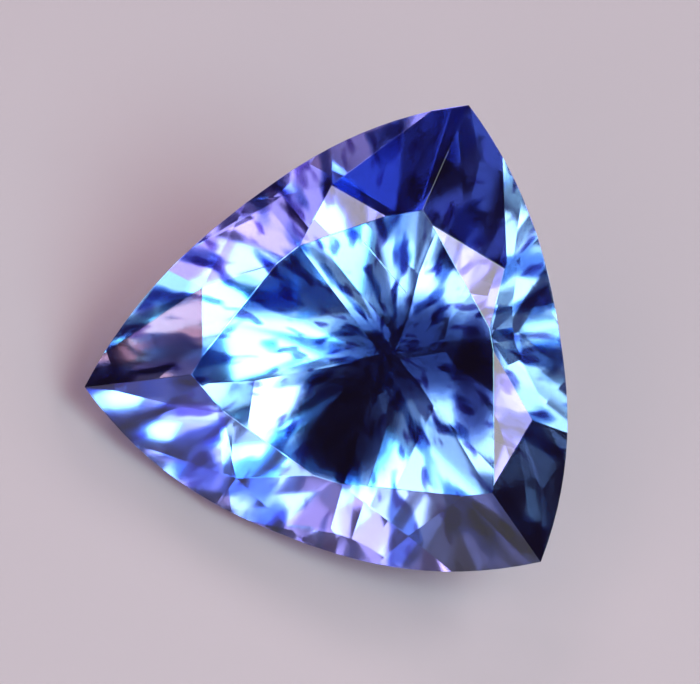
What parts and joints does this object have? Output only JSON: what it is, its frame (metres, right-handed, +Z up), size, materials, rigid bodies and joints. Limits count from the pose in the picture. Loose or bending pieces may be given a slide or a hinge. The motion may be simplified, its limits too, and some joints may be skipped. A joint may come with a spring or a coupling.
{
  "type": "cut tanzanite",
  "caption": "Faceted tanzanite cut as a triangle with curved sides, lying on a lower facet: a loose gem for a jewellery setting or a mineral collection.",
  "frame": {"origin": "centre of the stone's bounding box, at its lowest point, on the surface that it lies on", "axes": "+Z up from the facet that the stone lies on; the table leans back from -Y and faces up and towards -Y; +X to the right as seen from -Y"},
  "size_m": [0.0086, 0.0064, 0.0057],
  "materials": {
    "tanzanite": "polished"
  },
  "bodies": {
    "root": {"tanzanite": "tanzanite"}
  },
  "joints": []
}
